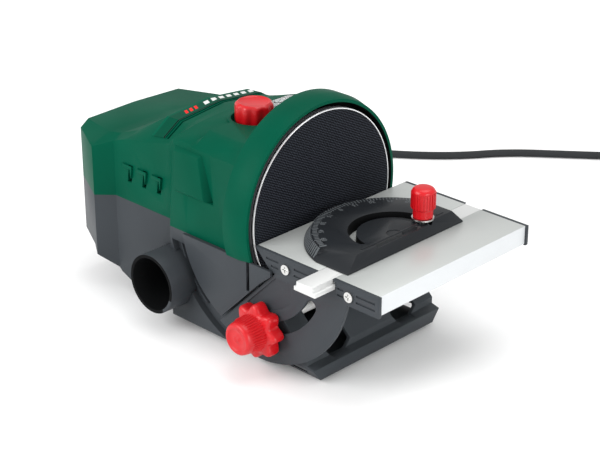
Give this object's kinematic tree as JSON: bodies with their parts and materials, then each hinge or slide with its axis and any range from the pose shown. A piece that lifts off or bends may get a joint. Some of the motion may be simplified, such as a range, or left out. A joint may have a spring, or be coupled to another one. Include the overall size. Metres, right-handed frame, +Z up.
{
  "type": "bench disc sander",
  "caption": "Small bench disc sander: motor casing with a hooded sanding disc, a tilting work table, a sliding mitre gauge, speed dial, switch, dust outlet and mains lead.",
  "frame": {"origin": "on the bench, straight below the centre of the disc's sanding face", "axes": "+X out of the sanding face towards the work table, +Y along the disc face towards the side without the lock knob, +Z up"},
  "size_m": [0.4557, 0.5181, 0.161],
  "materials": {
    "green_casing": "fine-textured moulded green plastic",
    "dark_casing": "fine-textured dark grey plastic",
    "red_plastic": "smooth moulded red plastic",
    "clear_plastic": "clear moulded plastic",
    "black_plastic": "dark insulating plastic",
    "cast_table": "light grey coated aluminium extrusion",
    "bright_steel": "bright zinc-plated steel",
    "plated_bar": "satin aluminium",
    "abrasive": "coated abrasive on cloth",
    "hook_fabric": "hook-and-loop backing",
    "motor_steel": "zinc-plated sheet steel",
    "copper": "copper segments",
    "rubber": "matt black rubber",
    "label": "printed strip with plain stripes",
    "board": "circuit board"
  },
  "bodies": {
    "machine": {"upper_housing": "green_casing", "lower_housing": "dark_casing", "base_tray": "dark_casing", "tray_screws": "bright_steel", "rubber_feet": "rubber", "dust_outlet": "dark_casing", "motor_can": "motor_steel", "motor_end_cap": "black_plastic", "front_bearing": "bright_steel", "rear_bearing": "bright_steel", "magnets": "black_plastic", "carbon_brushes": "rubber", "brush_holders": "copper", "potentiometer": "black_plastic", "switch_body": "black_plastic", "control_board": "board", "label_strip": "label", "casing_screws": "bright_steel", "clamp_nut": "bright_steel", "strain_relief": "rubber", "power_cord": "rubber", "cord_coil": "rubber", "mains_plug": "rubber"},
    "disc": {"motor_shaft": "bright_steel", "armature": "motor_steel", "commutator": "copper", "cooling_fan": "black_plastic", "disc_hub": "motor_steel", "sanding_disc": "plated_bar", "hook_pad": "hook_fabric", "abrasive_sheet": "abrasive"},
    "table": {"table_top": "cast_table", "near_quadrant_bracket": "dark_casing", "far_end_cap": "dark_casing", "far_quadrant_bracket": "dark_casing", "table_screws": "bright_steel", "bracket_screws": "bright_steel"},
    "lock": {"clamp_rod": "bright_steel", "lock_washer": "bright_steel", "lock_knob": "red_plastic"},
    "dial": {"speed_dial": "red_plastic", "dial_spindle": "bright_steel"},
    "rocker": {"switch_rocker": "red_plastic"},
    "cover": {"switch_cover": "clear_plastic"},
    "gauge_bar": {"mitre_bar": "plated_bar", "mitre_pivot_screw": "bright_steel", "mitre_stud": "bright_steel"},
    "gauge_head": {"mitre_head": "dark_casing"},
    "gauge_knob": {"mitre_knob": "red_plastic", "mitre_washer": "bright_steel"}
  },
  "joints": [
    {"name": "disc_spin", "type": "hinge", "parent": "machine", "child": "disc", "pos_m": [0, 0, 0.091], "axis": [1, 0, 0], "continuous": true},
    {"name": "table_tilt", "type": "hinge", "parent": "machine", "child": "table", "pos_m": [0.002, 0, 0.0826], "axis": [0, 1, 0], "range_deg": [0, 45]},
    {"name": "lock_turn", "type": "hinge", "parent": "machine", "child": "lock", "pos_m": [0.01003, -0.075, 0.0295], "axis": [0, -1, 0], "range_deg": [-180, 180]},
    {"name": "dial_turn", "type": "hinge", "parent": "machine", "child": "dial", "pos_m": [-0.0547, -0.0078, 0.14], "axis": [0, 0, 1], "range_deg": [-270, 0]},
    {"name": "rocker_tilt", "type": "hinge", "parent": "machine", "child": "rocker", "pos_m": [-0.046, 0.0175, 0.136], "axis": [0, 1, 0], "range_deg": [0, 8]},
    {"name": "cover_flip", "type": "hinge", "parent": "machine", "child": "cover", "pos_m": [-0.0345, 0.0175, 0.1387], "axis": [0, 1, 0], "range_deg": [0, 100]},
    {"name": "gauge_slide", "type": "slide", "parent": "table", "child": "gauge_bar", "axis": [0, 1, 0], "range_m": [-0.06, 0.06]},
    {"name": "gauge_swivel", "type": "hinge", "parent": "gauge_bar", "child": "gauge_head", "pos_m": [0.0604, 0, 0.086], "axis": [0, 0, 1], "range_deg": [-135, 0]},
    {"name": "gauge_knob_turn", "type": "hinge", "parent": "gauge_bar", "child": "gauge_knob", "pos_m": [0.0604, 0.0265, 0.1], "axis": [0, 0, 1], "range_deg": [-180, 180]}
  ]
}
